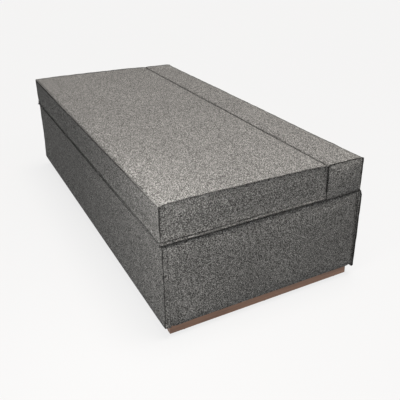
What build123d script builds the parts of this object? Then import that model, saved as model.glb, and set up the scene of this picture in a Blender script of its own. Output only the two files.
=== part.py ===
"""A folding ottoman bed: an upholstered bench whose front rolls out and whose top folds over it.

Closed, it is a 2 m by 0.9 m bench on a recessed wooden plinth. The wide part of the top is half of
the bed. It turns half a turn about its front lower edge and comes to lie on the slats of the
rolled-out front, level with the mattress that stays inside the base. The narrow part of the top is
the padded lid of a bedding compartment along the back.

The frame: +X along the length, -Y towards the front that rolls out, +Z up. The origin is on the
floor under the middle of the closed bench. All lengths are millimetres.
"""

import os

from build123d import *

# Driving sizes of the closed bench
length = 2000
depth = 900
rim_height = 416  # top of the base, where the top section sits
top_thickness = 144  # of the top section at its corners
plinth_height = 50
plinth_inset = 25
strip_width = 180  # the narrow lid along the back

# Stock and clearances
board = 18  # plywood of the carcass
thin_board = 12  # plywood of floors and lids
plinth_board = 22
end_pad = 14  # padding and fabric on the ends and the back
front_board_thickness = 12
front_pad = 10
seat_gap = 0.5  # between pieces that rest on each other across a joint
side_gap = 1  # beside pieces that slide
cut_overrun = 20

# Puffed fabric
pad_puff = 3  # how far a padded panel swells at its middle
top_crown = 8
lid_crown = 4
side_bulge = 3
mattress_crown = 2

# Top section that folds over
section_gap = 4  # between the folding section and the narrow lid
panel_thickness = 15
panel_inset = 30
seat_foam_thickness = 41
vent_radius = 20
vent_pitch_share = 0.25  # of the panel's depth
vent_rows = 3

# Slatted decks
slat_width = 70
slat_thickness = 12
slat_round = 3
slat_count = 14
rail_height = 25
rail_depth = 30
rail_wall = 2
ledger_depth = 20
mattress_gap = 4.5  # from the inner mattress up to the rim
deck_gap = 3  # between the rolling deck and the fixed rail above it

# Fold hinges
hinge_count = 4
hinge_pitch_share = 0.29  # of the length
hinge_out = 3  # axis in front of the front face
hinge_plate = 3
knuckle_radius = 5
knuckle_width = 24
pin_radius = 3
pin_clearance = 0.05
pin_head_radius = 4.5
pin_head = 2
lug_thickness = 4
lug_gap = 0.3
arm_set_back = 10  # arm behind the cushion's front face
arm_depth = 18
arm_rise = 22  # height over which the arm steps back
arm_plate_width = 60
arm_plate_depth = 50
pocket_gap = 1
screw_radius = 4
screw_head = 1.5

# Lid hinges at the back
lid_hinge_count = 3
lid_hinge_pitch_share = 0.4  # of the length
lid_leaf_width = 40
lid_knuckle_width = 16
lid_leaf_depth = 29

# Rolling front
slide_height = 45
slide_wall = 2
slide_drop = 76  # from the underside of the rolling slats to the bottom of the slides
slide_flange = 14
slide_run_gap = 0.3
slide_space = 36  # from the end board to the rolling side board
rolling_lift = 12  # rolling boards above the top of the plinth
rear_rail_height = 80
mid_beam_width = 24
mid_beam_height = 50
cleat = 25
plinth_lift = 4  # the rolling plinth board clears the floor
roller_radius = 25
roller_width = 22
roller_bore_gap = 0.05
tyre_round = 2
axle_radius = 4
roller_inset = 120  # from the end of the bench
roller_set_back = 60  # behind the front board
fork_wall = 3
fork_gap = 1
fork_depth = 24
beam_depth = 60

# Feet
glide_height = 2
glide_radius = 11
glide_side = 11  # from the plinth board's outer face to the glide's centre
glide_end_inset = 60
glides_per_side = 3

# Places worked out from the sizes above
half_length = length / 2
corner_height = rim_height + top_thickness
front = -depth / 2
back = depth / 2
end_board_outer = half_length - end_pad
end_board_inner = end_board_outer - board
front_board_outer = front + front_pad
front_board_inner = front_board_outer + front_board_thickness
rear_board_outer = back - end_pad
rear_board_inner = rear_board_outer - board
low_rim = rim_height - hinge_plate  # top of the back, under the lid's hinge leaves
seam_y = back - strip_width
divider_front = seam_y - board / 2
divider_back = divider_front + board
section_bottom = rim_height + seat_gap + seat_gap
section_front = front + side_bulge
section_back = seam_y - section_gap / 2 - side_bulge
strip_front = seam_y + section_gap / 2 + side_bulge
strip_back = back - side_bulge
section_half = half_length - side_bulge
panel_top = corner_height - seat_foam_thickness
panel_bottom = panel_top - panel_thickness
hinge_y = front - hinge_out
hinge_z = rim_height
front_top = hinge_z - knuckle_radius - side_gap  # the front rolls out under the knuckles
rail_front = front_board_inner + seat_gap + hinge_plate
deck_top = hinge_z - top_thickness - top_crown - seat_gap  # where the folded section lies
deck_bottom = deck_top - slat_thickness
rail_bottom = deck_top + deck_gap
rail_top = rail_bottom + rail_height
mattress_bottom = rail_top + slat_thickness
mattress_top = rim_height - mattress_gap
plinth_side_outer = half_length - plinth_inset
plinth_side_inner = plinth_side_outer - plinth_board
plinth_front_y = front + plinth_inset
plinth_back_y = back - plinth_inset
rolling_side_outer = end_board_inner - slide_space
rolling_side_inner = rolling_side_outer - board
rolling_back = divider_front - board / 2 - seat_gap
rolling_side_bottom = plinth_height + rolling_lift
slide_bottom = deck_bottom - slide_drop
slat_pitch = (2 * rolling_side_inner - slat_width) / (slat_count - 1)
hinge_pitch = length * hinge_pitch_share
lid_hinge_pitch = length * lid_hinge_pitch_share
arm_front = section_front + arm_set_back
arm_back = arm_front + arm_depth
lug_inner = knuckle_width / 2 + lug_gap
lug_outer = lug_inner + lug_thickness
roller_x = half_length - roller_inset
roller_y = front_board_inner + roller_set_back
fork_inner = roller_width / 2 + fork_gap
fork_outer = fork_inner + fork_wall

os.makedirs("parts", exist_ok=True)


def save(shape, name):
    """Labels a finished piece and writes it as one STEP file."""
    shape.label = name
    export_step(shape, f"parts/{name}.step")


def block(x_low, x_high, y_low, y_high, z_low, z_high):
    """A square-cut board between two corners."""
    with BuildPart() as piece:
        with BuildSketch(Plane.XY.offset(z_low)):
            with Locations(((x_low + x_high) / 2, (y_low + y_high) / 2)):
                Rectangle(x_high - x_low, y_high - y_low)
        extrude(amount=z_high - z_low)
    return piece.part


def puffed_outline(plane, a_low, a_high, z_low, z_high, crown, bulge):
    """A cushion's outline: flat below, sides that swell by bulge, a top that rises by crown."""
    middle = (z_low + z_high) / 2
    with BuildSketch(plane) as outline:
        with BuildLine():
            Line((a_low, z_low), (a_high, z_low))
            ThreePointArc((a_high, z_low), (a_high + bulge, middle), (a_high, z_high))
            ThreePointArc((a_high, z_high), ((a_low + a_high) / 2, z_high + crown), (a_low, z_high))
            ThreePointArc((a_low, z_high), (a_low - bulge, middle), (a_low, z_low))
        make_face()
    return outline.sketch


def cushion(half_x, y_low, y_high, z_low, z_high, crown, bulge):
    """A crowned cushion whose sides pull in at its corners, centred on X."""
    middle_plane = Plane.XZ.offset(-(y_low + y_high) / 2)
    end_view = puffed_outline(Plane.YZ, y_low, y_high, z_low, z_high, crown, bulge)
    front_view = puffed_outline(middle_plane, -half_x, half_x, z_low, z_high, crown, bulge)
    with BuildPart() as piece:
        extrude(end_view, amount=half_x + cut_overrun, both=True)
        extrude(front_view, amount=(y_high - y_low) / 2 + cut_overrun, both=True, mode=Mode.INTERSECT)
    return piece.part


def padded_panel(width, height, thickness, puff):
    """An upholstered panel on the XZ plane, its back at Y = 0, swelling towards -Y at its middle."""
    edge = thickness - puff
    with BuildPart() as piece:
        with BuildSketch(Plane.XY.offset(-cut_overrun)):
            with BuildLine():
                Line((-width / 2, cut_overrun), (width / 2, cut_overrun))
                Line((width / 2, cut_overrun), (width / 2, -edge))
                ThreePointArc((width / 2, -edge), (0, -thickness), (-width / 2, -edge))
                Line((-width / 2, -edge), (-width / 2, cut_overrun))
            make_face()
        extrude(amount=height + 2 * cut_overrun)
        with BuildSketch(Plane.YZ):
            with BuildLine():
                Line((0, 0), (0, height))
                Line((0, height), (-edge, height))
                ThreePointArc((-edge, height), (-thickness, height / 2), (-edge, 0))
                Line((-edge, 0), (0, 0))
            make_face()
        extrude(amount=width / 2 + cut_overrun, both=True, mode=Mode.INTERSECT)
    return piece.part


def slats(y_low, y_high, z_low):
    """A row of separate slats with rounded long edges, evenly spaced along X."""
    with BuildPart() as row:
        with BuildSketch(Plane.XY.offset(z_low)):
            with Locations((0, (y_low + y_high) / 2)):
                with GridLocations(slat_pitch, 0, slat_count, 1):
                    Rectangle(slat_width, y_high - y_low)
        extrude(amount=slat_thickness)
        long_edges = row.edges().filter_by(Axis.Y).group_by(Axis.Z)[-1]
        fillet(long_edges, radius=slat_round)
    return row.part


def hinge_places(count, pitch):
    """X positions of a row of hinges, centred on the bench."""
    return [(i - (count - 1) / 2) * pitch for i in range(count)]


fold_hinge_places = hinge_places(hinge_count, hinge_pitch)
lid_hinge_places = hinge_places(lid_hinge_count, lid_hinge_pitch)


# Plinth of the base: the end boards run through to the front, and the back board fits between them
def plinth_end(side):
    """One end board of the plinth, with a small round on its outer lower edge."""
    low, high = sorted((side * plinth_side_inner, side * plinth_side_outer))
    return block(low, high, plinth_front_y, plinth_back_y, glide_height, plinth_height)


save(plinth_end(-1), "plinth_left")
save(plinth_end(1), "plinth_right")
save(
    block(
        -plinth_side_inner, plinth_side_inner, plinth_back_y - plinth_board, plinth_back_y,
        glide_height, plinth_height,
    ),
    "plinth_rear",
)


def plinth_glides():
    """Felt glides in a row under each end board of the plinth."""
    with BuildPart() as glides:
        with BuildSketch(Plane.XY):
            across = 2 * (plinth_side_outer - glide_side)
            along = 2 * (plinth_back_y - glide_end_inset) / (glides_per_side - 1)
            with GridLocations(across, along, 2, glides_per_side):
                Circle(glide_radius - side_gap)
        extrude(amount=glide_height)
    return glides.part


save(plinth_glides(), "plinth_glides")


# Carcass of the base
def end_board(side):
    """An end wall of the base."""
    low, high = sorted((side * end_board_inner, side * end_board_outer))
    return block(low, high, front_board_inner + seat_gap, rear_board_outer, plinth_height, rim_height)


def plinth_cleat(side):
    """A batten that ties an end wall to the plinth board below it."""
    low, high = sorted((side * (end_board_inner - cleat), side * end_board_inner))
    return block(
        low, high, plinth_front_y + plinth_board + cleat, divider_front,
        plinth_height, plinth_height + cleat,
    )


for side_name, side_sign in (("left", -1), ("right", 1)):
    save(end_board(side_sign), f"end_board_{side_name}")
    save(plinth_cleat(side_sign), f"plinth_cleat_{side_name}")

save(
    block(
        -end_board_inner, end_board_inner, rear_board_inner, rear_board_outer,
        plinth_height, low_rim,
    ),
    "rear_board",
)
bedding_floor_top = plinth_height + thin_board
save(
    block(
        -end_board_inner, end_board_inner, divider_front, rear_board_inner,
        plinth_height, bedding_floor_top,
    ),
    "bedding_floor",
)
save(
    block(
        -end_board_inner, end_board_inner, divider_front, divider_back,
        bedding_floor_top, rim_height + seat_gap,
    ),
    "divider_board",
)

# Padded covers of the base
panel_height = rim_height - plinth_height
end_cover_width = rear_board_outer - front_board_inner - seat_gap
end_cover_middle = (rear_board_outer + front_board_inner + seat_gap) / 2
end_cover = padded_panel(end_cover_width, panel_height, end_pad, pad_puff)
save(
    Pos(end_board_outer, end_cover_middle, plinth_height) * Rot(Z=90) * end_cover,
    "cover_right",
)
save(
    Pos(-end_board_outer, end_cover_middle, plinth_height) * Rot(Z=-90) * end_cover,
    "cover_left",
)
rear_cover = padded_panel(length, low_rim - plinth_height, end_pad, pad_puff)
save(Pos(0, rear_board_outer, plinth_height) * Rot(Z=180) * rear_cover, "cover_rear")


# Fixed slatted deck and the mattress inside the base
def deck_front_rail():
    """A steel tube across the front of the fixed deck."""
    with BuildPart() as rail:
        with BuildSketch(Plane.YZ):
            with Locations((rail_front + rail_depth / 2, rail_bottom + rail_height / 2)):
                Rectangle(rail_depth, rail_height)
                Rectangle(rail_depth - 2 * rail_wall, rail_height - 2 * rail_wall, mode=Mode.SUBTRACT)
        extrude(amount=end_board_inner, both=True)
    return rail.part


save(deck_front_rail(), "deck_front_rail")
save(
    block(
        -end_board_inner, end_board_inner, divider_front - ledger_depth, divider_front,
        rail_bottom, rail_top,
    ),
    "deck_rear_ledger",
)
save(slats(rail_front, divider_front - side_gap, rail_top), "deck_slats")
mattress_edge = mattress_crown + seat_gap
save(
    cushion(
        end_board_inner - mattress_edge - seat_gap,
        rail_front + mattress_edge, divider_front - mattress_edge,
        mattress_bottom, mattress_top - mattress_crown, mattress_crown, mattress_crown,
    ),
    "inner_mattress",
)


# Fold hinges: plates bolted to the fixed deck's rail, reaching over the front panel to the axis
def fold_hinge_brackets():
    """A bent plate and knuckle for each fold hinge."""
    with BuildPart() as brackets:
        for x in fold_hinge_places:
            with BuildSketch(Plane.YZ.offset(x)):
                with BuildLine():
                    Polyline(
                        (rail_front, rail_bottom),
                        (rail_front, hinge_z),
                        (hinge_y, hinge_z),
                        (hinge_y, hinge_z - hinge_plate),
                        (rail_front - hinge_plate, hinge_z - hinge_plate),
                        (rail_front - hinge_plate, rail_bottom),
                        close=True,
                    )
                make_face()
                with Locations((hinge_y, hinge_z)):
                    Circle(knuckle_radius)
                    Circle(pin_radius + pin_clearance, mode=Mode.SUBTRACT)
            extrude(amount=knuckle_width / 2, both=True)
    return brackets.part


def hinge_pins(places, half_grip, y, z):
    """A headed hinge pin along X at each place."""
    with BuildPart() as pins:
        for x in places:
            with BuildSketch(Plane.YZ.offset(x)):
                with Locations((y, z)):
                    Circle(pin_radius)
            extrude(amount=half_grip + pin_head, both=True)
            for head_x in (x + half_grip, x - half_grip - pin_head):
                with BuildSketch(Plane.YZ.offset(head_x)):
                    with Locations((y, z)):
                        Circle(pin_head_radius)
                extrude(amount=pin_head)
    return pins.part


save(fold_hinge_brackets(), "fold_hinge_brackets")
save(hinge_pins(fold_hinge_places, lug_outer + lug_gap, hinge_y, hinge_z), "fold_hinge_pins")


# The section that folds over: a plywood panel between a sleeping foam and a seat foam
def fold_panel():
    """The plywood core of the folding section, drilled to let the foam breathe."""
    panel_low = section_front + panel_inset
    panel_high = section_back - panel_inset
    vent_pitch = (panel_high - panel_low) * vent_pitch_share
    across = int((length - 2 * panel_inset) / vent_pitch) - 1
    with BuildPart() as panel:
        with BuildSketch(Plane.XY.offset(panel_bottom)):
            with Locations((0, (panel_low + panel_high) / 2)):
                Rectangle(2 * (section_half - panel_inset), panel_high - panel_low)
                with GridLocations(vent_pitch, vent_pitch, across, vent_rows):
                    Circle(vent_radius, mode=Mode.SUBTRACT)
        extrude(amount=panel_thickness)
    return panel.part


def fold_hinge_arms():
    """For each fold hinge, two lugs and the plate that is screwed under the panel."""
    lug_starts = [x + start for x in fold_hinge_places for start in (lug_inner, -lug_outer)]
    with BuildPart() as arms:
        for start in lug_starts:
            with BuildSketch(Plane.YZ.offset(start)):
                with BuildLine():
                    Polyline(
                        (hinge_y - knuckle_radius / 2, hinge_z + pin_radius),
                        (arm_front, hinge_z + arm_rise),
                        (arm_front, panel_bottom),
                        (arm_back, panel_bottom),
                        (arm_back, hinge_z + arm_rise / 2),
                        (hinge_y + knuckle_radius, hinge_z),
                        close=True,
                    )
                make_face()
                with Locations((hinge_y, hinge_z)):
                    Circle(knuckle_radius)
                    Circle(pin_radius, mode=Mode.SUBTRACT)
            extrude(amount=lug_thickness)
        with BuildSketch(Plane.XY.offset(panel_bottom - hinge_plate)):
            with Locations((0, arm_front + arm_plate_depth / 2)):
                with GridLocations(hinge_pitch, 0, hinge_count, 1):
                    Rectangle(arm_plate_width, arm_plate_depth)
        extrude(amount=hinge_plate)
    return arms.part


def fold_arm_screws():
    """Two pan-head screws that hold each arm's plate to the panel."""
    across = arm_plate_width - 4 * screw_radius
    screw_y = arm_front + arm_plate_depth - 2 * screw_radius
    with BuildPart() as screws:
        with BuildSketch(Plane.XY.offset(panel_bottom - hinge_plate - screw_head)):
            with Locations((0, screw_y)):
                with GridLocations(hinge_pitch, 0, hinge_count, 1):
                    with GridLocations(across, 0, 2, 1):
                        Circle(screw_radius)
        extrude(amount=screw_head)
    return screws.part


section = cushion(
    section_half, section_front, section_back, section_bottom, corner_height, top_crown, side_bulge
)


def seat_foam():
    """The upper foam, which shows when the bench is closed."""
    with BuildPart() as foam:
        add(section)
        split(bisect_by=Plane.XY.offset(panel_top), keep=Keep.TOP)
    return foam.part


def sleep_foam():
    """The lower foam, slept on when folded over, with pockets for the panel and the hinge arms."""
    plate_pocket = hinge_plate + screw_head + pocket_gap
    with BuildPart() as foam:
        add(section)
        split(bisect_by=Plane.XY.offset(panel_top), keep=Keep.BOTTOM)
        with BuildSketch(Plane.XY.offset(panel_bottom)):
            with Locations((0, (section_front + section_back) / 2)):
                Rectangle(
                    2 * (section_half - panel_inset) + pocket_gap,
                    section_back - section_front - 2 * panel_inset + pocket_gap,
                )
        extrude(amount=panel_thickness, mode=Mode.SUBTRACT)
        with BuildSketch(Plane.XY.offset(panel_bottom)):
            with Locations((0, arm_front + arm_plate_depth / 2)):
                with GridLocations(hinge_pitch, 0, hinge_count, 1):
                    Rectangle(arm_plate_width + 2 * pocket_gap, arm_plate_depth + 2 * pocket_gap)
        extrude(amount=-plate_pocket, mode=Mode.SUBTRACT)
        slot_width = 2 * (lug_outer + pocket_gap)
        with BuildSketch(Plane.XY.offset(panel_bottom)):
            with Locations((0, (arm_front + arm_back) / 2)):
                with GridLocations(hinge_pitch, 0, hinge_count, 1):
                    Rectangle(slot_width, arm_depth + 2 * pocket_gap)
        extrude(amount=-(panel_bottom - section_bottom), mode=Mode.SUBTRACT)
        notch_width = 2 * (lug_outer + pin_head + lug_gap + pocket_gap)
        with BuildSketch(Plane.XY.offset(section_bottom)):
            with Locations((0, arm_front - cut_overrun)):
                with GridLocations(hinge_pitch, 0, hinge_count, 1):
                    Rectangle(notch_width, 2 * cut_overrun + pocket_gap)
        extrude(amount=arm_rise, mode=Mode.SUBTRACT)
    return foam.part


save(fold_panel(), "fold_panel")
save(fold_hinge_arms(), "fold_hinge_arms")
save(fold_arm_screws(), "fold_arm_screws")
save(seat_foam(), "seat_foam")
save(sleep_foam(), "sleep_foam")


# Narrow lid of the bedding compartment
lid_board_bottom = rim_height + seat_gap + hinge_plate
lid_board_top = lid_board_bottom + thin_board
lid_board_front = strip_front + side_bulge
lid_board_back = strip_back - side_bulge
lid_hinge_y = back + hinge_out
lid_leaf_y = lid_hinge_y - lid_leaf_depth
lid_knuckle_outer = lid_knuckle_width / 2 + lug_gap + lid_knuckle_width / 2


def lid_cushion():
    """The narrow cushion, hollowed below for its board and the hinge leaves."""
    whole = cushion(
        section_half, strip_front, strip_back, section_bottom, corner_height,
        lid_crown, side_bulge,
    )
    with BuildPart() as pad:
        add(whole)
        with BuildSketch(Plane.XY.offset(lid_board_top)):
            with Locations((0, (lid_board_front + lid_board_back) / 2)):
                Rectangle(2 * (section_half - side_bulge), lid_board_back - lid_board_front)
        extrude(amount=-cut_overrun, mode=Mode.SUBTRACT)
        with BuildSketch(Plane.XY.offset(hinge_z + knuckle_radius + pocket_gap)):
            with Locations((0, lid_board_back)):
                with GridLocations(lid_hinge_pitch, 0, lid_hinge_count, 1):
                    Rectangle(lid_leaf_width + 2 * pocket_gap, 2 * cut_overrun)
        extrude(amount=-cut_overrun, mode=Mode.SUBTRACT)
    return pad.part


def lid_leaves(knuckles, z_low, bore):
    """A leaf for each lid hinge. Each knuckle is its start from the hinge's middle, and its width."""
    knuckle_starts = [(x + start, width) for x in lid_hinge_places for start, width in knuckles]
    with BuildPart() as leaves:
        with BuildSketch(Plane.XY.offset(z_low)):
            with Locations((0, lid_leaf_y + (lid_leaf_depth - knuckle_radius) / 2)):
                with GridLocations(lid_hinge_pitch, 0, lid_hinge_count, 1):
                    Rectangle(lid_leaf_width, lid_leaf_depth - knuckle_radius)
        extrude(amount=hinge_plate)
        for start, width in knuckle_starts:
            with BuildSketch(Plane.YZ.offset(start)):
                with Locations((lid_hinge_y, hinge_z)):
                    Circle(knuckle_radius)
                with Locations((lid_hinge_y - knuckle_radius, z_low + hinge_plate / 2)):
                    Rectangle(2 * knuckle_radius, hinge_plate)
                with Locations((lid_hinge_y, hinge_z)):
                    Circle(bore, mode=Mode.SUBTRACT)
            extrude(amount=width)
    return leaves.part


middle_knuckle = [(-lid_knuckle_width / 2, lid_knuckle_width)]
outer_knuckles = [
    (lid_knuckle_width / 2 + lug_gap, lid_knuckle_width / 2),
    (-lid_knuckle_outer, lid_knuckle_width / 2),
]
save(
    block(
        -section_half + side_bulge, section_half - side_bulge, lid_board_front, lid_board_back,
        lid_board_bottom, lid_board_top,
    ),
    "lid_board",
)
save(lid_cushion(), "lid_cushion")
running_bore = pin_radius + pin_clearance
save(lid_leaves(middle_knuckle, hinge_z - hinge_plate, running_bore), "lid_hinge_fixed_leaves")
save(lid_leaves(outer_knuckles, hinge_z + seat_gap, pin_radius), "lid_hinge_moving_leaves")
save(
    hinge_pins(lid_hinge_places, lid_knuckle_outer + lug_gap, lid_hinge_y, hinge_z),
    "lid_hinge_pins",
)


# Rolling front: the padded front panel with its own slatted deck, on slides and rollers
front_cover = padded_panel(length, front_top - plinth_height, front_pad, pad_puff)
save(Pos(0, front_board_outer, plinth_height) * front_cover, "cover_front")
save(
    block(
        -half_length + pad_puff, half_length - pad_puff, front_board_outer, front_board_inner,
        plinth_height, front_top,
    ),
    "front_board",
)
rolling_plinth_half = plinth_side_inner - side_gap
save(
    block(
        -rolling_plinth_half, rolling_plinth_half, plinth_front_y, plinth_front_y + plinth_board,
        plinth_lift, plinth_height,
    ),
    "plinth_front",
)
front_cleat_half = end_board_inner - slide_space
save(
    block(
        -front_cleat_half, front_cleat_half, front_board_inner, plinth_front_y + plinth_board,
        plinth_height, plinth_height + cleat,
    ),
    "front_plinth_cleat",
)


def rolling_side(side):
    """A side board of the rolling frame."""
    low, high = sorted((side * rolling_side_inner, side * rolling_side_outer))
    beam_front = plinth_front_y + plinth_board + side_gap
    whole = block(low, high, front_board_inner, rolling_back, rolling_side_bottom, deck_bottom)
    with BuildPart() as piece:
        add(whole)
        with BuildSketch(Plane.XY.offset(rolling_side_bottom)):
            with Locations(((low + high) / 2, (front_board_inner + beam_front) / 2)):
                Rectangle(2 * board, beam_front - front_board_inner)
        extrude(amount=plinth_height + cleat - rolling_side_bottom + side_gap, mode=Mode.SUBTRACT)
    return piece.part


def slide_channel(web_x, mouth_x):
    """A C channel of a telescopic slide, its web at web_x and open towards mouth_x."""
    inward = 1 if mouth_x > web_x else -1
    with BuildPart() as channel:
        with BuildSketch(Plane.XZ.offset(-rail_front)):
            with BuildLine():
                Polyline(
                    (web_x, slide_bottom),
                    (mouth_x, slide_bottom),
                    (mouth_x, slide_bottom + slide_wall),
                    (web_x + inward * slide_wall, slide_bottom + slide_wall),
                    (web_x + inward * slide_wall, slide_bottom + slide_height - slide_wall),
                    (mouth_x, slide_bottom + slide_height - slide_wall),
                    (mouth_x, slide_bottom + slide_height),
                    (web_x, slide_bottom + slide_height),
                    close=True,
                )
            make_face()
        extrude(amount=-(rolling_back - rail_front))
    return channel.part


def slide_middle(side):
    """The hollow middle member of a telescopic slide, held between the two channels."""
    gap = slide_wall + slide_run_gap
    width = slide_space - 2 * gap
    height = slide_height - 2 * gap
    with BuildPart() as member:
        with BuildSketch(Plane.XZ.offset(-rail_front)):
            with Locations((side * (end_board_inner - slide_space / 2), slide_bottom + slide_height / 2)):
                Rectangle(width, height)
                Rectangle(width - 2 * slide_wall, height - 2 * slide_wall, mode=Mode.SUBTRACT)
        extrude(amount=-(rolling_back - rail_front))
    return member.part


for side_name, side_sign in (("left", -1), ("right", 1)):
    save(rolling_side(side_sign), f"rolling_side_{side_name}")
    outer_web = side_sign * end_board_inner
    inner_web = side_sign * rolling_side_outer
    outer_mouth = outer_web - side_sign * slide_flange
    inner_mouth = inner_web + side_sign * slide_flange
    save(slide_channel(outer_web, outer_mouth), f"slide_outer_{side_name}")
    save(slide_middle(side_sign), f"slide_middle_{side_name}")
    save(slide_channel(inner_web, inner_mouth), f"slide_inner_{side_name}")

save(
    block(
        -rolling_side_inner, rolling_side_inner, rolling_back - board, rolling_back,
        deck_bottom - rear_rail_height, deck_bottom,
    ),
    "rolling_rear_board",
)
save(
    block(
        -rolling_side_inner, rolling_side_inner, front_board_inner, front_board_inner + ledger_depth,
        deck_bottom - rail_height, deck_bottom,
    ),
    "rolling_front_ledger",
)
save(
    block(
        -mid_beam_width / 2, mid_beam_width / 2, front_board_inner + ledger_depth, rolling_back - board,
        deck_bottom - mid_beam_height, deck_bottom,
    ),
    "rolling_mid_beam",
)
save(slats(front_board_inner + seat_gap, rolling_back, deck_bottom), "rolling_slats")
save(
    block(
        -rolling_side_inner, rolling_side_inner, roller_y - beam_depth / 2, roller_y + beam_depth / 2,
        rolling_side_bottom, rolling_side_bottom + board,
    ),
    "roller_beam",
)


def roller_forks(places):
    """Steel forks that hang under the roller beam, with holes for the axles."""
    fork_low = roller_radius - fork_depth / 2
    with BuildPart() as forks:
        for x in places:
            with BuildSketch(Plane.XZ.offset(-roller_y)):
                with BuildLine():
                    Polyline(
                        (x - fork_outer, fork_low),
                        (x - fork_outer, rolling_side_bottom),
                        (x + fork_outer, rolling_side_bottom),
                        (x + fork_outer, fork_low),
                        (x + fork_inner, fork_low),
                        (x + fork_inner, rolling_side_bottom - fork_wall),
                        (x - fork_inner, rolling_side_bottom - fork_wall),
                        (x - fork_inner, fork_low),
                        close=True,
                    )
                make_face()
            extrude(amount=fork_depth / 2, both=True)
            with BuildSketch(Plane.YZ.offset(x)):
                with Locations((roller_y, roller_radius)):
                    Circle(axle_radius)
            extrude(amount=fork_outer + cut_overrun, both=True, mode=Mode.SUBTRACT)
    return forks.part


def roller_axles(places):
    """Axles that fill the holes of their forks, with a flange outside each cheek."""
    with BuildPart() as axles:
        for x in places:
            with BuildSketch(Plane.YZ.offset(x)):
                with Locations((roller_y, roller_radius)):
                    Circle(axle_radius)
            extrude(amount=fork_outer + pin_head, both=True)
            for flange_x in (x + fork_outer, x - fork_outer - pin_head):
                with BuildSketch(Plane.YZ.offset(flange_x)):
                    with Locations((roller_y, roller_radius)):
                        Circle(axle_radius + pin_head)
                extrude(amount=pin_head)
    return axles.part


def roller(x):
    """A rubber-tyred roller, bored to run on its axle."""
    with BuildPart() as wheel:
        with BuildSketch(Plane.YZ.offset(x)):
            with Locations((roller_y, roller_radius)):
                Circle(roller_radius)
                Circle(axle_radius + roller_bore_gap, mode=Mode.SUBTRACT)
        extrude(amount=roller_width / 2, both=True)
        rims = wheel.edges().filter_by(GeomType.CIRCLE).sort_by(SortBy.RADIUS)[-2:]
        fillet(rims, radius=tyre_round)
    return wheel.part


roller_places = {"left": -roller_x, "centre": 0, "right": roller_x}
save(roller_forks(roller_places.values()), "roller_forks")
save(roller_axles(roller_places.values()), "roller_axles")
for place_name, place_x in roller_places.items():
    save(roller(place_x), f"roller_{place_name}")
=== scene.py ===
import math

import bpy
import numpy as np
from mathutils import Matrix, Vector
from mathutils import noise as mnoise


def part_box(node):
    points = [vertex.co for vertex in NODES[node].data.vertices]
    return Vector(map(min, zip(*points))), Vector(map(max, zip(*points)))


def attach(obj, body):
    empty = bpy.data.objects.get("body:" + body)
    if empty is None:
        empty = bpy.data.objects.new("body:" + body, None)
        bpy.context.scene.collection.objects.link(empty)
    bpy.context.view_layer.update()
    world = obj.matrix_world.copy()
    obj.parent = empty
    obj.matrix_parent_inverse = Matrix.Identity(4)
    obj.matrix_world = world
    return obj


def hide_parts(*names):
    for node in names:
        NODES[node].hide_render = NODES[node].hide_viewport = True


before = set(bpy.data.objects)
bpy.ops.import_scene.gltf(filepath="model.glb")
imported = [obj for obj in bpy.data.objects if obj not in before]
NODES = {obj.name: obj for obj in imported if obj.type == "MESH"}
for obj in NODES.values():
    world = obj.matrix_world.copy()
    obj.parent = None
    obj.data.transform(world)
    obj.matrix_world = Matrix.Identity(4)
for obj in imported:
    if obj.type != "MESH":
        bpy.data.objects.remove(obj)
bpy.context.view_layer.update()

scene = bpy.context.scene


def mm(value):
    """Millimetres to metres."""
    return value / 1000.0


# Camera, fitted to the corners in the photograph
FOCAL = 50.0
SENSOR_WIDTH = 36
SHIFT = (-0.1116, -0.0787)
CAMERA_PLACE = Vector((2.5815, -1.0464, 1.4062))
FORWARD = Vector((-0.79402, 0.46677, -0.38945)).normalized()
ROLL = math.radians(0.441)
FAR_CLIP = 200


def make_camera():
    """Places the camera, with its frame shifted and rolled a little."""
    flat_right = FORWARD.cross(Vector((0, 0, 1))).normalized()
    flat_up = flat_right.cross(FORWARD)
    right = flat_right * math.cos(ROLL) + flat_up * math.sin(ROLL)
    up = flat_up * math.cos(ROLL) - flat_right * math.sin(ROLL)
    data = bpy.data.cameras.new("camera")
    data.lens = FOCAL
    data.sensor_width = SENSOR_WIDTH
    data.shift_x, data.shift_y = SHIFT
    data.clip_end = FAR_CLIP
    camera = bpy.data.objects.new("camera", data)
    scene.collection.objects.link(camera)
    axes = Matrix((right, up, -FORWARD)).transposed().to_4x4()
    camera.matrix_world = Matrix.Translation(CAMERA_PLACE) @ axes
    scene.camera = camera


make_camera()


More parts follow.
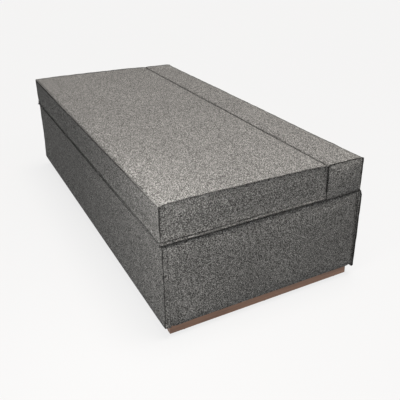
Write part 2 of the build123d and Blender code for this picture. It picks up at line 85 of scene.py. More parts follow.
# Materials
class Nodes:
    """A small wrapper that keeps node wiring short."""

    def __init__(self, name):
        self.material = bpy.data.materials.new(name)
        self.material.use_nodes = True
        self.tree = self.material.node_tree
        self.shader = self.tree.nodes["Principled BSDF"]
        self.place = self.new("ShaderNodeTexCoord").outputs["Object"]

    def new(self, kind, **props):
        """Adds a node and sets its properties."""
        node = self.tree.nodes.new(kind)
        for key, value in props.items():
            setattr(node, key, value)
        return node

    def link(self, a, b):
        """Joins an output to an input."""
        self.tree.links.new(a, b)

    def scaled(self, scale):
        """Object coordinates stretched along each axis."""
        node = self.new("ShaderNodeMapping")
        node.inputs["Scale"].default_value = scale
        self.link(self.place, node.inputs["Vector"])
        return node.outputs["Vector"]

    def noise(self, scale, detail=2.0, rough=0.5, place=None, distortion=0.0):
        """Soft noise from 0 to 1."""
        node = self.new("ShaderNodeTexNoise")
        node.inputs["Scale"].default_value = scale
        node.inputs["Detail"].default_value = detail
        node.inputs["Roughness"].default_value = rough
        node.inputs["Distortion"].default_value = distortion
        self.link(place or self.place, node.inputs["Vector"])
        return node.outputs["Fac"]

    def cells(self, scale):
        """Small cells, each with its own value from 0 to 1."""
        node = self.new("ShaderNodeTexVoronoi")
        node.inputs["Scale"].default_value = scale
        self.link(self.place, node.inputs["Vector"])
        split = self.new("ShaderNodeSeparateColor")
        self.link(node.outputs["Color"], split.inputs[0])
        return split.outputs[0]

    def bands(self, scale, direction, distortion=0.0):
        """Even bands across one direction."""
        node = self.new("ShaderNodeTexWave", wave_type="BANDS", bands_direction=direction)
        node.inputs["Scale"].default_value = scale
        node.inputs["Distortion"].default_value = distortion
        self.link(self.place, node.inputs["Vector"])
        return node.outputs["Fac"]

    def ramp(self, factor, stops):
        """Colours set at places between 0 and 1."""
        node = self.new("ShaderNodeValToRGB")
        elements = node.color_ramp.elements
        while len(elements) < len(stops):
            elements.new(0.5)
        for element, (position, color) in zip(elements, stops):
            element.position = position
            element.color = (*color, 1)
        self.link(factor, node.inputs["Fac"])
        return node.outputs["Color"]

    def multiply(self, a, b, share=1.0):
        """Multiplies one colour by another, by a share."""
        node = self.new("ShaderNodeMix", data_type="RGBA", blend_type="MULTIPLY")
        node.inputs[0].default_value = share
        self.link(a, node.inputs[6])
        self.link(b, node.inputs[7])
        return node.outputs[2]

    def math(self, kind, *values):
        """One sum on outputs and plain numbers."""
        node = self.new("ShaderNodeMath", operation=kind)
        for socket, value in zip(node.inputs, values):
            if isinstance(value, (int, float)):
                socket.default_value = value
            else:
                self.link(value, socket)
        return node.outputs[0]

    def bump(self, height, strength, distance, normal=None):
        """A raised surface, on top of another where one is given."""
        node = self.new("ShaderNodeBump")
        node.inputs["Strength"].default_value = strength
        node.inputs["Distance"].default_value = distance
        self.link(height, node.inputs["Height"])
        if normal is not None:
            self.link(normal, node.inputs["Normal"])
        return node.outputs["Normal"]

    def finish(self, color, normal=None, rough=0.5, **sockets):
        """Wires the shader and returns the material."""
        shader = self.shader
        if isinstance(color, tuple):
            shader.inputs["Base Color"].default_value = (*color, 1)
        else:
            self.link(color, shader.inputs["Base Color"])
        if isinstance(rough, float):
            shader.inputs["Roughness"].default_value = rough
        else:
            self.link(rough, shader.inputs["Roughness"])
        if normal is not None:
            self.link(normal, shader.inputs["Normal"])
        for key, value in sockets.items():
            shader.inputs[key.replace("_", " ")].default_value = value
        return self.material


# Counts per metre in the tweed, and how far each changes the tone
GRAIN_SCALE = 260
YARN_SCALE = 360
YARN_SHARE = 0.42
CLUMP_SCALE = 56
CLUMP_SHARE = 0.12
FUZZ_SCALE = 900
YARN_TONES = ((0.26, 0.05), (0.44, 0.19), (0.56, 0.33), (0.76, 0.76))

# Woods, each with its dark, middle and light tone
WALNUT_TONES = ((0.116, 0.054, 0.03), (0.199, 0.101, 0.059), (0.262, 0.149, 0.095))
BEECH_TONES = ((0.20, 0.14, 0.085), (0.265, 0.195, 0.125), (0.315, 0.24, 0.165))
BIRCH_TONES = ((0.19, 0.13, 0.072), (0.26, 0.185, 0.11), (0.31, 0.23, 0.145))
GRAIN_STRETCH = 0.06  # scale along the grain, as a share of that across it
PORE_SCALE = 420
PORE_SCALE_ALONG = 9
PLY_SCALE = 110

# Mattress cloth
STRIPE_SCALE = 14
WEAVE_SCALE = 700
TICKING_GROUND = (0.25, 0.243, 0.226)
TICKING_STRIPE = (0.16, 0.168, 0.176)


def grey(value, warm=0.0):
    """A grey, leaning to yellow by the share warm."""
    return (value * (1 + warm / 4), value, value * (1 - warm))


def tweed(name, level, warm=0.03):
    """Salt-and-pepper boucle: short dark and light yarn ends a few millimetres long."""
    n = Nodes(name)
    grain = n.noise(GRAIN_SCALE, rough=0.62, distortion=0.4)
    speck = n.math("MULTIPLY_ADD", n.cells(YARN_SCALE), YARN_SHARE, -YARN_SHARE / 2)
    clumps = n.noise(CLUMP_SCALE, rough=0.6)
    lumps = n.math("MULTIPLY_ADD", clumps, CLUMP_SHARE, -CLUMP_SHARE / 2)
    both = n.math("ADD", n.math("ADD", grain, speck), lumps)
    yarn = n.ramp(both, [(place, grey(tone * level, warm)) for place, tone in YARN_TONES])
    cloud = n.ramp(n.noise(2.6, detail=3.0, rough=0.55), [(0.3, grey(0.90)), (0.7, grey(1.0))])
    color = n.multiply(yarn, cloud)
    normal = n.bump(both, strength=0.75, distance=mm(3.5))
    fine = n.bump(n.noise(FUZZ_SCALE), strength=0.35, distance=mm(0.8), normal=normal)
    return n.finish(color, fine, rough=0.92, Sheen_Weight=0.02, Specular_IOR_Level=0.0)


def wood(name, tones, along, ring=9.0, gloss=0.45, pores=0.35):
    """Wood with grain along one axis, fine pores and a slow change of tone."""
    n = Nodes(name)
    axis = "XYZ".index(along)
    stretch = [ring, ring, ring]
    stretch[axis] = ring * GRAIN_STRETCH
    figure = n.noise(1.6, detail=6.0, rough=0.62, place=n.scaled(stretch), distortion=1.3)
    color = n.ramp(figure, list(zip((0.30, 0.52, 0.72), tones)))
    fine = [PORE_SCALE, PORE_SCALE, PORE_SCALE]
    fine[axis] = PORE_SCALE_ALONG
    streaks = n.noise(1.0, detail=3.0, rough=0.6, place=n.scaled(fine))
    lines = n.ramp(streaks, [(0.36, grey(1 - pores)), (0.56, grey(1.0))])
    color = n.multiply(color, lines)
    normal = n.bump(streaks, strength=0.25, distance=mm(0.4))
    rough = n.math("MULTIPLY_ADD", streaks, 0.25, gloss - 0.1)
    return n.finish(color, normal, rough)


def plywood(name):
    """Birch plywood: pale faces with a few darker bands, layered edges."""
    n = Nodes(name)
    figure = n.noise(1.4, detail=5.0, rough=0.6, place=n.scaled((1.2, 9, 9)), distortion=1.0)
    face = n.ramp(figure, list(zip((0.3, 0.55, 0.75), BIRCH_TONES)))
    layers = n.bands(PLY_SCALE, "DIAGONAL", distortion=0.6)
    plies = n.ramp(layers, [(0.35, grey(0.86)), (0.65, grey(1.0))])
    color = n.multiply(face, plies, 0.55)
    streaks = n.noise(1.0, detail=3.0, rough=0.6, place=n.scaled((14, 300, 300)))
    normal = n.bump(streaks, strength=0.2, distance=mm(0.4))
    return n.finish(color, normal, rough=0.55)


def metal(name, color, rough, metallic=0.0, grain=900, strength=0.12):
    """Steel, plated or coated, or rubber, with a fine surface."""
    n = Nodes(name)
    fine = n.noise(grain)
    slow = n.noise(14, detail=3.0)
    tone = n.ramp(slow, [(0.3, tuple(c * 0.82 for c in color)), (0.7, color)])
    roughness = n.math("MULTIPLY_ADD", slow, 0.2, rough - 0.1)
    return n.finish(tone, n.bump(fine, strength, mm(0.4)), roughness, Metallic=metallic)


def ticking(name):
    """Off-white woven mattress ticking with narrow grey stripes."""
    n = Nodes(name)
    lines = n.ramp(n.bands(STRIPE_SCALE, "Y"), [(0.86, TICKING_GROUND), (0.93, TICKING_STRIPE)])
    weave = n.noise(WEAVE_SCALE)
    color = n.multiply(lines, n.ramp(weave, [(0.35, grey(0.82)), (0.65, grey(1.0))]))
    normal = n.bump(weave, strength=0.4, distance=mm(0.8))
    return n.finish(color, normal, rough=0.85, Sheen_Weight=0.15)


TWEED = tweed("tweed_grey", level=0.293)
# Darker copies of the tweed for the seam tubes: painted shade, dark lines where the grooves and slits
# at the seams fall into shadow; the soft one is a lighter painted shade.
SEAM_PAINTED_SHADE = tweed("seam_painted_shade_grey", level=0.08)
SEAM_SOFT_PAINTED_SHADE = tweed("seam_soft_painted_shade_grey", level=0.195)
RIDGE = tweed("ridge_grey", level=0.26)
WALNUT_X = wood("walnut_x", WALNUT_TONES, "X")
WALNUT_Y = wood("walnut_y", WALNUT_TONES, "Y")
BEECH = wood("beech", BEECH_TONES, "Y", ring=7.0, gloss=0.5, pores=0.15)
PLYWOOD = plywood("plywood")
GREY_STEEL = metal("grey_steel", (0.095, 0.093, 0.09), rough=0.6)
BLACK_STEEL = metal("black_steel", (0.022, 0.022, 0.022), rough=0.5)
HINGE_STEEL = metal("hinge_steel", (0.024, 0.024, 0.023), rough=0.8)
ZINC = metal("zinc_steel", (0.62, 0.63, 0.65), rough=0.32, metallic=1.0, grain=300)
RUBBER = metal("black_rubber", (0.022, 0.021, 0.02), rough=0.75, grain=500, strength=0.2)
FELT = tweed("felt", level=0.3)
TICKING = ticking("mattress_ticking")

NODE_MATERIALS = {
    WALNUT_X: ["plinth_rear", "plinth_front"],
    WALNUT_Y: ["plinth_left", "plinth_right"],
    FELT: ["plinth_glides"],
    BEECH: ["deck_slats", "rolling_slats"],
    BLACK_STEEL: ["deck_front_rail", "roller_forks"],
    HINGE_STEEL: ["fold_hinge_brackets", "fold_hinge_arms", "fold_hinge_pins"],
    GREY_STEEL: ["lid_hinge_fixed_leaves", "lid_hinge_moving_leaves", "lid_hinge_pins"],
    ZINC: ["fold_arm_screws", "slide_outer_left", "slide_outer_right", "slide_inner_left",
           "slide_inner_right", "slide_middle_left", "slide_middle_right", "roller_axles"],
    RUBBER: ["roller_left", "roller_centre", "roller_right"],
}


def paint_nodes():
    """Gives each solid its material, plywood where the table has no other."""
    named = {name: material for material, names in NODE_MATERIALS.items() for name in names}
    for name, obj in NODES.items():
        material = named.get(name, PLYWOOD)
        for slot in obj.material_slots:
            slot.material = material
        if not obj.material_slots:
            obj.data.materials.append(material)


paint_nodes()


# Soft boxes
class Shell:
    """A closed box of grid points, with its edge lines kept for the seams."""

    def __init__(self, low, high, step, shape):
        low = np.array(low, float)
        size = np.array(high, float) - low
        self.count = [max(2, int(round(s / step))) for s in size]
        self.index = {}
        points = []
        faces = []
        nx, ny, nz = self.count
        for i in range(nx + 1):
            for j in range(ny + 1):
                for k in range(nz + 1):
                    if i in (0, nx) or j in (0, ny) or k in (0, nz):
                        self.index[i, j, k] = len(points)
                        share = np.array((i / nx, j / ny, k / nz))
                        points.append(low + size * share)
        at = self.index
        for i in range(nx):
            for j in range(ny):
                faces.append((at[i, j, 0], at[i, j + 1, 0], at[i + 1, j + 1, 0], at[i + 1, j, 0]))
                faces.append((at[i, j, nz], at[i + 1, j, nz], at[i + 1, j + 1, nz], at[i, j + 1, nz]))
        for i in range(nx):
            for k in range(nz):
                faces.append((at[i, 0, k], at[i + 1, 0, k], at[i + 1, 0, k + 1], at[i, 0, k + 1]))
                faces.append((at[i, ny, k], at[i, ny, k + 1], at[i + 1, ny, k + 1], at[i + 1, ny, k]))
        for j in range(ny):
            for k in range(nz):
                faces.append((at[0, j, k], at[0, j, k + 1], at[0, j + 1, k + 1], at[0, j + 1, k]))
                faces.append((at[nx, j, k], at[nx, j + 1, k], at[nx, j + 1, k + 1], at[nx, j, k + 1]))
        self.faces = faces
        grid = np.array(points)
        self.points = shape(grid.copy(), (grid - low) / size)

    def loop(self, axis, end):
        """Point numbers round the face at one end of an axis, in order."""
        a, b = [n for n in range(3) if n != axis]
        na, nb = self.count[a], self.count[b]
        ring = [(s, 0) for s in range(na)] + [(na, s) for s in range(nb)]
        ring += [(s, nb) for s in range(na, 0, -1)] + [(0, s) for s in range(nb, 0, -1)]
        key = [0, 0, 0]
        key[axis] = self.count[axis] if end else 0
        out = []
        for s, t in ring:
            key[a], key[b] = s, t
            out.append(self.index[tuple(key)])
        return out

    def edge(self, axis, ends):
        """Point numbers along one box edge. ends gives 0 or 1 for the other two axes."""
        a, b = [n for n in range(3) if n != axis]
        key = [0, 0, 0]
        key[a], key[b] = self.count[a] * ends[0], self.count[b] * ends[1]
        out = []
        for s in range(self.count[axis] + 1):
            key[axis] = s
            out.append(self.index[tuple(key)])
        return out

    def face_edges(self, axis, end):
        """The four box edges round the face at one end of an axis."""
        out = []
        for along in [n for n in range(3) if n != axis]:
            others = [n for n in range(3) if n != along]
            for ends in ((0, 0), (0, 1), (1, 0), (1, 1)):
                if ends[others.index(axis)] == end:
                    out.append((along, ends))
        return out

    def pairs(self, chosen=None):
        """Neighbouring points along the box edges, all twelve or the chosen ones."""
        every = [(axis, (a, b)) for axis in range(3) for a in (0, 1) for b in (0, 1)]
        out = set()
        for axis, ends in chosen or every:
            line = self.edge(axis, ends)
            out.update(frozenset(pair) for pair in zip(line, line[1:]))
        return out


def make_object(name, points, faces, material):
    """A smooth mesh object from points and faces."""
    mesh = bpy.data.meshes.new(name)
    mesh.from_pydata([tuple(p) for p in points], [], faces)
    mesh.update()
    obj = bpy.data.objects.new(name, mesh)
    scene.collection.objects.link(obj)
    mesh.materials.append(material)
    mesh.polygons.foreach_set("use_smooth", [True] * len(mesh.polygons))
    return obj


def apply_modifiers(obj):
    """Keeps the shape that the modifiers give and removes them."""
    bpy.context.view_layer.update()
    graph = bpy.context.evaluated_depsgraph_get()
    mesh = bpy.data.meshes.new_from_object(obj.evaluated_get(graph))
    old = obj.data
    obj.modifiers.clear()
    obj.data = mesh
    bpy.data.meshes.remove(old)


def points_of(obj):
    """The object's points as rows of X, Y and Z."""
    flat = np.empty(len(obj.data.vertices) * 3)
    obj.data.vertices.foreach_get("co", flat)
    return flat.reshape(-1, 3)


def set_points(obj, points):
    """Moves the object's points."""
    obj.data.vertices.foreach_set("co", np.asarray(points, float).ravel())
    obj.data.update()


# Cloth of the soft boxes
CLOTH_FRAMES = 20
CLOTH_QUALITY = 6
CLOTH_MASS = 0.35
CLOTH_STIFFNESS = 18.0
CLOTH_BENDING = 1.2
FIRM_REACH = mm(1.5)  # how far a point on a seam may move


def inflate(obj, pressure, cap, firm, hold=()):
    """Blows a closed fabric form up a little, so that its panels swell and its seams pucker."""
    start = points_of(obj)
    cloth = obj.modifiers.new("cloth", "CLOTH")
    fabric = cloth.settings
    fabric.quality = CLOTH_QUALITY
    fabric.mass = CLOTH_MASS
    fabric.tension_stiffness = CLOTH_STIFFNESS
    fabric.compression_stiffness = CLOTH_STIFFNESS
    fabric.shear_stiffness = CLOTH_STIFFNESS / 2
    fabric.bending_stiffness = CLOTH_BENDING
    fabric.use_pressure = True
    fabric.uniform_pressure_force = pressure
    fabric.effector_weights.gravity = 0
    cloth.collision_settings.use_collision = False
    cloth.collision_settings.use_self_collision = False
    if len(hold):
        group = obj.vertex_groups.new(name="held")
        group.add([int(n) for n in hold], 1.0, "REPLACE")
        fabric.vertex_group_mass = "held"
    cloth.point_cache.frame_start = 1
    cloth.point_cache.frame_end = CLOTH_FRAMES
    for number in range(1, CLOTH_FRAMES + 1):
        scene.frame_set(number)
    apply_modifiers(obj)
    scene.frame_set(1)
    moved = points_of(obj) - start
    reach = np.linalg.norm(moved, axis=1, keepdims=True)
    limit = np.full(reach.shape, cap)
    limit[firm] = min(cap, FIRM_REACH)
    moved *= np.minimum(1.0, limit / np.maximum(reach, 1e-9))
    set_points(obj, start + moved)
    obj.vertex_groups.clear()


def crease(obj, pairs, amount):
    """Keeps the edges between paired points nearly sharp when the form is made smooth."""
    data = obj.data.attributes
    sharp = data.get("crease_edge") or data.new("crease_edge", "FLOAT", "EDGE")
    for edge, slot in zip(obj.data.edges, sharp.data):
        if frozenset(edge.vertices) in pairs:
            slot.value = amount


def subdivide(obj):
    """Splits each face once and rounds what isn't creased."""
    modifier = obj.modifiers.new("smooth", "SUBSURF")
    modifier.levels = modifier.render_levels = 1
    apply_modifiers(obj)
    obj.data.polygons.foreach_set("use_smooth", [True] * len(obj.data.polygons))


def wobble(position, scale, seed):
    """Slow unevenness from -1 to 1, always the same at the same place."""
    p = Vector(position) * scale + Vector((seed * 7.13, seed * 3.71, seed * 1.97))
    return mnoise.noise(p)


SEAM_THINNEST = 0.15  # radius of a faded end, as a share


def seam(name, points, radius, material, closed=False, wave=0.0, seed=1, fade=(0, 0)):
    """A raised seam with a slightly uneven line, as a tube along the points.

    fade gives the shares of the line over which it thins out at its start and its end.
    """
    curve = bpy.data.curves.new(name, "CURVE")
    curve.dimensions = "3D"
    curve.bevel_depth = radius
    curve.bevel_resolution = 2
    curve.use_fill_caps = True
    line = curve.splines.new("POLY")
    line.points.add(len(points) - 1)
    shares = np.linspace(0, 1, len(points))
    for slot, p, share in zip(line.points, points, shares):
        shift = [wave * wobble(p, 22, seed + n) for n in range(3)]
        slot.co = (p[0] + shift[0], p[1] + shift[1], p[2] + shift[2], 1)
        slot.radius = 1.0 + 0.35 * wobble(p, 40, seed + 5)
        if share < fade[0]:
            slot.radius *= max(SEAM_THINNEST, share / fade[0])
        if 1 - share < fade[1]:
            slot.radius *= max(SEAM_THINNEST, (1 - share) / fade[1])
    line.use_cyclic_u = closed
    temp = bpy.data.objects.new(name + "_line", curve)
    scene.collection.objects.link(temp)
    bpy.context.view_layer.update()
    graph = bpy.context.evaluated_depsgraph_get()
    mesh = bpy.data.meshes.new_from_object(temp.evaluated_get(graph))
    bpy.data.objects.remove(temp)
    obj = bpy.data.objects.new(name, mesh)
    scene.collection.objects.link(obj)
    mesh.materials.clear()
    mesh.materials.append(material)
    mesh.polygons.foreach_set("use_smooth", [True] * len(mesh.polygons))
    return obj


# Cushions
LIP_PLACES = (-0.45, -0.27, 0.0, 0.35, 0.45)
LIP_FALLS = (mm(12), mm(12), mm(7.5), mm(6), mm(1))
ROLL_PLACES = (0.15, 0.4, 0.85, 1.0)  # shares of the length
ROLL_SHARES = (0.0, 1.0, 1.0, 0.4)
EDGE = 0.999  # a share above it lies on that face of the box
TOP_RIPPLE = mm(1.6)
FRONT_SWELL = 0.5  # of the swell at the back
LEFT_DROOP = 0.45  # of the droop at the right end
LIP_SPREAD = 0.45  # how far a lip stands out, as a share of its fall
LIP_DEPTH = mm(18)
DROOP_DEPTH = mm(14)
RISE_LIMIT = mm(6.5)
FRONT_LIMIT = mm(2.5)
BACK_LIMIT = mm(2.6)
SEAM_REACH = mm(12)  # points this near the outermost one count as lying on that side
EDGE_CREASE = 0.85
INNER_CREASE = 0.3
SOFT_CREASE = 0.4
CUSHION_PRESSURE = 4.0
CUSHION_REACH = mm(6)  # how far the cloth may move a point
CUSHION_HEIGHT = mm(144)


def lip_fall(y):
    """How far the cushions' end faces hang over the base, from the front to the back."""
    return np.interp(y, LIP_PLACES, LIP_FALLS)


def roll_share(share):
    """How much the front top edge rolls over at a share of the length."""
    return np.interp(share, ROLL_PLACES, ROLL_SHARES)


def cushion_shape(crown, bulge, dip, lean=0.0, droop=0.0, hang=0.0, skew=0.0, roll=0.0):
    """A crowned top whose rim rises between its corners, and sides that draw in at the seams.

    crown is the rise of the top's middle and dip that of its rim, more of it behind by lean. bulge
    is the swell of the sides. The foot falls by droop along the front and by the share hang of the
    lips at the ends. The back edge leans forward by skew, and the front top edge rolls over by roll.
    """

    def shape(points, shares):
        u, v, w = (2 * shares[:, n] - 1 for n in range(3))
        height = shares[:, 2]
        at_end = np.abs(u) > EDGE
        at_side = np.abs(v) > EDGE
        at_front = shares[:, 1] < 1 - EDGE
        at_back = shares[:, 1] > EDGE
        over = np.clip(1 - u ** 8, 0, 1) * np.clip(1 - v ** 4, 0, 1)
        rim = np.clip(1 - np.abs(v) ** 3, 0, 1) * (1 + lean * v) * (1.15 - 0.15 * u) * dip
        points[:, 2] += height ** 3 * (crown * over + rim * (1 - over))
        swell = bulge * (1 - np.abs(w) ** 2.5)
        points[:, 0] += np.where(at_end, np.sign(u) * swell * (1 - v ** 6), 0)
        swell = np.where(v < 0, FRONT_SWELL, 1.0) * swell
        points[:, 1] += np.where(at_side, np.sign(v) * swell * (1 - u ** 12), 0)
        points[:, 2] += height * np.array([TOP_RIPPLE * wobble(p, 4.5, 2) for p in points])
        rolled = np.where((height > EDGE) & at_front, roll_share(shares[:, 0]) * roll, 0)
        points[:, 1] += rolled
        points[:, 2] -= rolled
        points[:, 1] -= np.where(at_back, skew * (1 - u) * height, 0)
        foot = height < 1 - EDGE
        longer = LEFT_DROOP + (1 - LEFT_DROOP) * shares[:, 0]
        front = np.where(foot & at_front, droop * longer, 0)
        ends = np.where(foot & at_end, hang * lip_fall(points[:, 1]), 0)
        points[:, 2] -= np.maximum(front, ends)
        points[:, 1] -= front
        points[:, 0] += np.sign(u) * LIP_SPREAD * ends
        return points

    return shape


def cushion(name, low, high, step, body, replaced, crown, bulge, dip, inner, **form):
    """A seat cushion. inner is 0 or 1, the long side that meets the other cushion."""
    shell = Shell(low, high, step, cushion_shape(crown, bulge, dip, hang=1.0, **form))
    obj = make_object(name, shell.points, shell.faces, TWEED)
    droop = form.get("droop", 0.0)
    rims = sorted({n for pair in shell.pairs() for n in pair})
    inflate(obj, CUSHION_PRESSURE, CUSHION_REACH, firm=rims)

    def settle():
        """Keeps the points inside the cushion's limits, with a soft limit on its height."""
        points = points_of(obj)
        front = droop * np.clip(1 - (points[:, 1] - low[1]) / DROOP_DEPTH, 0, 1)
        inward = np.minimum(points[:, 0] - low[0], high[0] - points[:, 0])
        ends = lip_fall(points[:, 1]) * np.clip(1 - inward / LIP_DEPTH, 0, 1)
        points[:, 2] = np.maximum(points[:, 2], low[2] - np.maximum(front, ends))
        rise = np.maximum(points[:, 2] - high[2], 0)
        soft_rise = RISE_LIMIT * np.tanh(rise / RISE_LIMIT)
        points[:, 2] = np.minimum(points[:, 2], high[2]) + soft_rise
        points[:, 1] = np.clip(points[:, 1], low[1] - FRONT_LIMIT - droop, high[1] + BACK_LIMIT)
        set_points(obj, points)
        return points.copy()

    base = settle()
    front_top = shell.edge(0, (0, 1))
    crease(obj, shell.pairs(), EDGE_CREASE)
    crease(obj, shell.pairs([(0, (inner, 1))]), INNER_CREASE)
    if inner == 1:
        soft = front_top[len(front_top) // 5:]
        crease(obj, {frozenset(pair) for pair in zip(soft, soft[1:])}, SOFT_CREASE)
    subdivide(obj)
    settle()
    seams = []
    middle = (np.array(low) + np.array(high)) / 2

    def sew(label, path, material, radius, lift=0.0, out=-0.6, seed=1, fade=(0, 0), unroll=0.0):
        """Lays a seam along a path, with its radius, lift and way out in millimetres."""
        line = base[path] + np.array((0, 0, mm(lift)))
        rolled = unroll * roll_share((line[:, 0] - low[0]) / (high[0] - low[0]))
        line[:, 1] -= rolled
        line[:, 2] += 0.6 * rolled
        away = (line - middle) * np.array((1, 1, 0))
        outermost = np.abs(np.abs(away) - np.abs(away).max(0)) < SEAM_REACH
        line = line + np.where(outermost, np.sign(away), 0) * mm(out)
        label = f"{name}_seam_{label}"
        seams.append(seam(label, line, mm(radius), material, wave=mm(1.4), seed=seed, fade=fade))

    # The dark seam tubes are painted shade: dark lines where the grooves along the seams, the corners
    # and the slits under the lips fall into shadow; the ridge tubes are raised rolls of cloth.
    if inner == 1:
        stiff = front_top[:len(front_top) // 4]
        sew("top_front", stiff, RIDGE, 2.6, 0.4, seed=3, fade=(0.0, 0.2))
        # Painted shade below the rolled front edge, and a thin line of it on the top just behind the
        # edge.
        sew("over_front", stiff, SEAM_PAINTED_SHADE, 1.1, 0.9, -5.5, seed=3, fade=(0.3, 0.4))
        sew("under_front", front_top, SEAM_PAINTED_SHADE, 2.5, -8.0, -0.4, seed=3, fade=(0.0, 0.2),
            unroll=form["roll"] * 0.85)
    else:
        sew("top_front", front_top, SEAM_SOFT_PAINTED_SHADE, 1.8, seed=3)
    sew("top_back", shell.edge(0, (1, 1)), SEAM_SOFT_PAINTED_SHADE, 1.8, seed=4)
    for n, label in enumerate(("left", "right")):
        trim_shade = SEAM_SOFT_PAINTED_SHADE if inner == 1 else SEAM_PAINTED_SHADE
        sew(f"top_{label}", shell.edge(1, (n, 1)), trim_shade, 2.0, seed=17 + n)
    for n, ends in enumerate(((0, 0), (1, 0), (0, 1), (1, 1))):
        radius = 3.8 if ends[1] > inner else 2.5
        sew(f"corner{n}", shell.edge(2, ends), SEAM_PAINTED_SHADE, radius, seed=5 + n, fade=(0.3, 0.0))
    fade = (0.0, 0.4) if inner == 1 else (0, 0)
    # Painted shadow of the slit between the cushion's foot and the pad below it.
    sew("foot_front", shell.edge(0, (0, 0)), SEAM_PAINTED_SHADE, 2.2, -0.6, 2.4, seed=11, fade=fade)
    sew("foot_back", shell.edge(0, (1, 0)), SEAM_PAINTED_SHADE, 1.6, 1.5, seed=12)
    for n, label in enumerate(("left", "right")):
        foot = shell.edge(1, (n, 0))
        sew(f"foot_{label}", foot, SEAM_PAINTED_SHADE, 1.6, 0.2, -0.2, seed=13 + n)
        sew(f"roll_{label}", foot, RIDGE, 4.4, 8.0, -2.8, seed=15 + n)
        if inner == 1:
            sew(f"tuck_{label}", foot, SEAM_PAINTED_SHADE, 1.3, 17.0, -0.8, seed=27 + n, fade=(0.0, 0.7))
    for tube in seams:
        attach(tube, body)
    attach(obj, body)
    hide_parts(*replaced)


def span(*names):
    """The low and high corners of one box round several solids."""
    lows, highs = zip(*(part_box(n) for n in names))
    return [min(p[a] for p in lows) for a in range(3)], [max(p[a] for p in highs) for a in range(3)]


fold_low, fold_high = span("sleep_foam", "seat_foam")
fold_low = [fold_low[0] + mm(0.5), fold_low[1] - mm(2), fold_low[2]]
fold_high = [fold_high[0] - mm(0.5), fold_high[1] + mm(1.5), fold_low[2] + CUSHION_HEIGHT]
cushion("fold_cushion", fold_low, fold_high, mm(18), "fold_section", ["sleep_foam", "seat_foam"],
        crown=mm(6), bulge=mm(4), dip=mm(8), inner=1, lean=0.25, droop=mm(5.4), roll=mm(4.5))

lid_low, lid_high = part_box("lid_cushion")
lid_low = [lid_low[0] + mm(0.5), lid_low[1] - mm(1.5), lid_low[2]]
lid_high = [lid_high[0] - mm(0.5), lid_high[1] - mm(1), lid_low[2] + CUSHION_HEIGHT]
cushion("lid_pad", lid_low, lid_high, mm(16), "strip_lid", ["lid_cushion"],
        crown=mm(4), bulge=mm(4), dip=mm(3), inner=0, skew=mm(3))


# Padded panels of the base
END_PAD_FRONT = -0.4282
FRONT_PAD_BACK = -0.4283
EDGE_PULL = mm(3)
PAD_RIPPLE = mm(1.2)
ROUND_PLACES = (0.94, 0.96, 1.0)  # shares of the height
ROUND_SHARES = (0.0, 0.15, 1.0)
HEM_END = -0.34
HEM_FADE = mm(88)
NOTCH_WIDTH = mm(28)
NOTCH_DEPTH = mm(9)
CORNER_WIDTH = mm(26)
HEM_SLACK = mm(1)
FACE_SLACK = mm(1)
FLARE_SLACK = mm(6.5)
PAD_PRESSURE = 2.0
PAD_CREASE = 0.8
NEAR = 1e-5


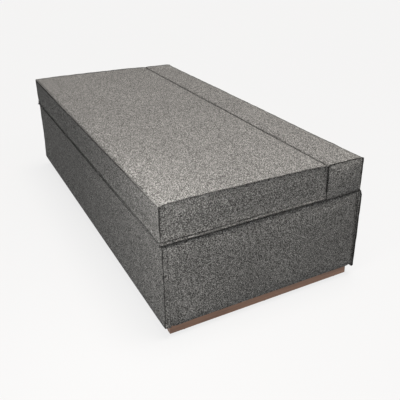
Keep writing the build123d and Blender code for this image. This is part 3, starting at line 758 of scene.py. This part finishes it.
def panel(name, node, out_axis, out_sign, body, step, cap, back=None, top=0.0, flare=(0, 0),
          rounding=0.0, hem=0.0, lift=mm(9)):
    """A padded panel, flat against its board and rounded over at its outer edges.

    It faces out_sign along out_axis. flare is how far its foot and its top stand out, rounding how
    far its top edge then draws in, hem how far it hangs, and lift the rise of its lower corners.
    """
    low, high = (list(p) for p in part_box(node))
    is_end = out_axis == 0
    is_front = out_axis == 1 and out_sign < 0
    if back is not None:
        high[out_axis] = back
    if is_end:
        low[1] = END_PAD_FRONT
    high[2] += top
    across = 1 - out_axis
    width = high[across] - low[across]

    def shape(points, shares):
        a = 2 * shares[:, across] - 1
        w = 2 * shares[:, 2] - 1
        height = shares[:, 2]
        out = shares[:, out_axis] if out_sign > 0 else 1 - shares[:, out_axis]
        joined = a < 0 if is_end else np.zeros(len(a), bool)
        edge = np.maximum(np.where(joined, 0, np.abs(a) ** 40), np.abs(w) ** 16)
        points[:, out_axis] -= out_sign * EDGE_PULL * edge * out
        ripple = np.array([PAD_RIPPLE * wobble(p, 5, 4) for p in points])
        drop = np.clip(1 - 2 * height, 0, 1) ** 1.2 if out_sign < 0 else 1 - height
        spread = flare[1] + (flare[0] - flare[1]) * drop
        spread = spread - rounding * np.interp(height, ROUND_PLACES, ROUND_SHARES)
        points[:, out_axis] += out_sign * out * (ripple * (1 - edge) + spread)
        fall = (1 - height) ** 6
        if is_end:
            fall *= np.clip((HEM_END - points[:, 1]) / HEM_FADE, 0, 1)
        points[:, 2] -= hem * fall
        if is_end:
            points[:, 2] -= np.where(height > EDGE, lip_fall(points[:, 1]) * out, 0)
        elif is_front:
            notch = np.clip(1 - (high[0] - np.abs(points[:, 0])) / NOTCH_WIDTH, 0, 1)
            points[:, 2] -= np.where(height > EDGE, NOTCH_DEPTH * notch, 0)
        corner = np.clip(np.abs(a) - (1 - CORNER_WIDTH / width), 0, 1)
        corner *= width / CORNER_WIDTH
        points[:, 2] += lift * corner ** 2 * np.clip(-w * 6 - 5, 0, 1) * out
        return points

    shell = Shell(low, high, step, shape)
    obj = make_object(name, shell.points, shell.faces, TWEED)
    rear = low[out_axis] if out_sign > 0 else high[out_axis]
    fixed = np.abs(shell.points[:, out_axis] - rear) < NEAR
    if is_end:
        fixed |= shell.points[:, 1] < low[1] + NEAR
    if top:
        fixed |= np.abs(shell.points[:, 2] - high[2]) < NEAR
    rims = sorted({n for pair in shell.pairs() for n in pair})
    inflate(obj, PAD_PRESSURE, cap, firm=rims, hold=np.nonzero(fixed)[0])

    def settle():
        """Keeps the points off the board, off the lip above and within the hem."""
        points = points_of(obj)
        limit = np.maximum if out_sign > 0 else np.minimum
        points[:, out_axis] = limit(points[:, out_axis], rear)
        if is_front:
            height = (points[:, 2] - low[2]) / (high[2] - low[2])
            slack = FACE_SLACK + FLARE_SLACK * np.clip(1 - 2 * height, 0, 1)
            points[:, 1] = np.maximum(points[:, 1], low[1] - slack)
        points[:, 2] = np.clip(points[:, 2], low[2] - hem - HEM_SLACK, high[2])
        set_points(obj, points)
        return points.copy()

    base = settle()
    crease(obj, shell.pairs(), PAD_CREASE)
    crease(obj, shell.pairs(shell.face_edges(out_axis, 0 if out_sign > 0 else 1)), 1.0)
    if is_end:
        crease(obj, shell.pairs(shell.face_edges(1, 0)), 1.0)
    subdivide(obj)
    settle()
    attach(obj, body)
    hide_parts(node)
    return shell, base


def base_shade_seam(name, line, radius, body, seed):
    """A seam down a corner of the base, dark with painted shade."""
    tube = seam(name, line, radius, SEAM_PAINTED_SHADE, wave=mm(1.2), seed=seed)
    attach(tube, body)


def base_panels():
    """The four padded panels of the base and the seams down their corners, dark with painted shade.
    """
    shell, base = panel("base_front_pad", "cover_front", 1, -1, "rolling_front", mm(20), mm(2),
                        back=FRONT_PAD_BACK, top=mm(0.6), flare=(mm(6), mm(1)), hem=mm(1), lift=mm(3))
    for side in (0, 1):
        line = base[shell.edge(2, (side, 0))] + np.array(((0.5 - side) * mm(2), mm(1), 0))
        base_shade_seam(f"base_front_seam{side}", line, mm(1.8), "rolling_front", 21 + side)
    panel("base_left_pad", "cover_left", 0, -1, "base", mm(18), mm(3), hem=mm(2))
    panel("base_right_pad", "cover_right", 0, 1, "base", mm(18), mm(3), hem=mm(2))
    shell, base = panel("base_rear_pad", "cover_rear", 1, 1, "base", mm(20), mm(3),
                        flare=(-mm(1), mm(13.5)), rounding=mm(8), hem=mm(5), lift=mm(1))
    for side in (0, 1):
        # The thick dark cords at the back corners are painted shade of the shadowed, rounded rear
        # edges and the joins beside them.
        line = base[shell.edge(2, (side, 1))] + np.array(((0.5 - side) * mm(1), -mm(1), 0))
        base_shade_seam(f"base_rear_seam{side}", line, mm(3.4), "base", 23 + side)
        line = base[shell.edge(2, (side, 0))] + np.array(((0.5 - side) * mm(1), mm(4), 0))
        base_shade_seam(f"base_rear_join{side}", line, mm(2.6), "base", 25 + side)


base_panels()


# Mattress inside the base
MATTRESS_INSET = mm(2)


def inner_mattress():
    """The mattress that stays in the base, with piping round its upper and lower edges."""
    low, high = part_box("inner_mattress")
    low = [c + MATTRESS_INSET for c in low]
    high = [c - MATTRESS_INSET for c in high]
    shell = Shell(low, high, mm(30), cushion_shape(crown=mm(1), bulge=mm(1), dip=0.0))
    obj = make_object("mattress", shell.points, shell.faces, TICKING)
    subdivide(obj)
    for label, end, lift in (("upper", 1, mm(-4)), ("lower", 0, mm(4))):
        line = shell.points[shell.loop(2, end)] + np.array((0, 0, lift))
        piping = seam(f"mattress_piping_{label}", line, mm(2), TICKING, closed=True)
        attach(piping, "base")
    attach(obj, "base")
    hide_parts("inner_mattress")


inner_mattress()


# Floor and light
FLOOR_HALF = 60
FLOOR_TONE = (0.045, 0.045, 0.045)
FLOOR_GLOW = 0.785
SUN_STRENGTH = 6.4
SUN_COLOR = (1.0, 0.937, 0.887)
SUN_WIDTH = math.radians(30)
SUN_TURN = (math.radians(-7.5), math.radians(1.5), 0)
SKY_STRENGTH = 0.72


def make_stage():
    """A wide pale floor under the bed."""
    n = Nodes("pale_floor")
    n.finish(FLOOR_TONE, rough=0.9, Emission_Color=(1, 1, 1, 1), Emission_Strength=FLOOR_GLOW,
             Specular_IOR_Level=0.0)
    half = FLOOR_HALF
    corners = [(-half, -half, 0), (half, -half, 0), (half, half, 0), (-half, half, 0)]
    floor = make_object("floor", corners, [(0, 1, 2, 3)], n.material)


def area(name, place, target, size, power, color):
    """A square soft lamp that looks at its target and isn't seen itself."""
    data = bpy.data.lights.new(name, "AREA")
    data.shape = "RECTANGLE"
    data.size = size
    data.size_y = size
    data.energy = power
    data.color = color
    light = bpy.data.objects.new(name, data)
    scene.collection.objects.link(light)
    light.location = place
    light.visible_camera = False
    aim = Vector(target) - Vector(place)
    light.rotation_euler = aim.to_track_quat("-Z", "Y").to_euler()


def make_lights():
    """Soft light from above, two lamps near the right end, and an even sky."""
    data = bpy.data.lights.new("overhead", "SUN")
    data.energy = SUN_STRENGTH
    data.color = SUN_COLOR
    data.angle = SUN_WIDTH
    sun = bpy.data.objects.new("overhead", data)
    scene.collection.objects.link(sun)
    sun.rotation_euler = SUN_TURN
    area("front_soft", place=(1.28, -0.9, 0.95), target=(0.8, -0.3, 0.6), size=0.4, power=14.5,
         color=(1.0, 0.97, 0.94))
    area("top_soft", place=(1.5, 0.25, 2.4), target=(0.5, 0.1, 0.5), size=1.2, power=38,
         color=(1.0, 0.955, 0.91))
    world = bpy.data.worlds.new("studio")
    world.use_nodes = True
    background = world.node_tree.nodes["Background"]
    background.inputs["Color"].default_value = (1, 1, 1, 1)
    background.inputs["Strength"].default_value = SKY_STRENGTH
    scene.world = world
    scene.view_settings.view_transform = "Standard"


make_stage()
make_lights()
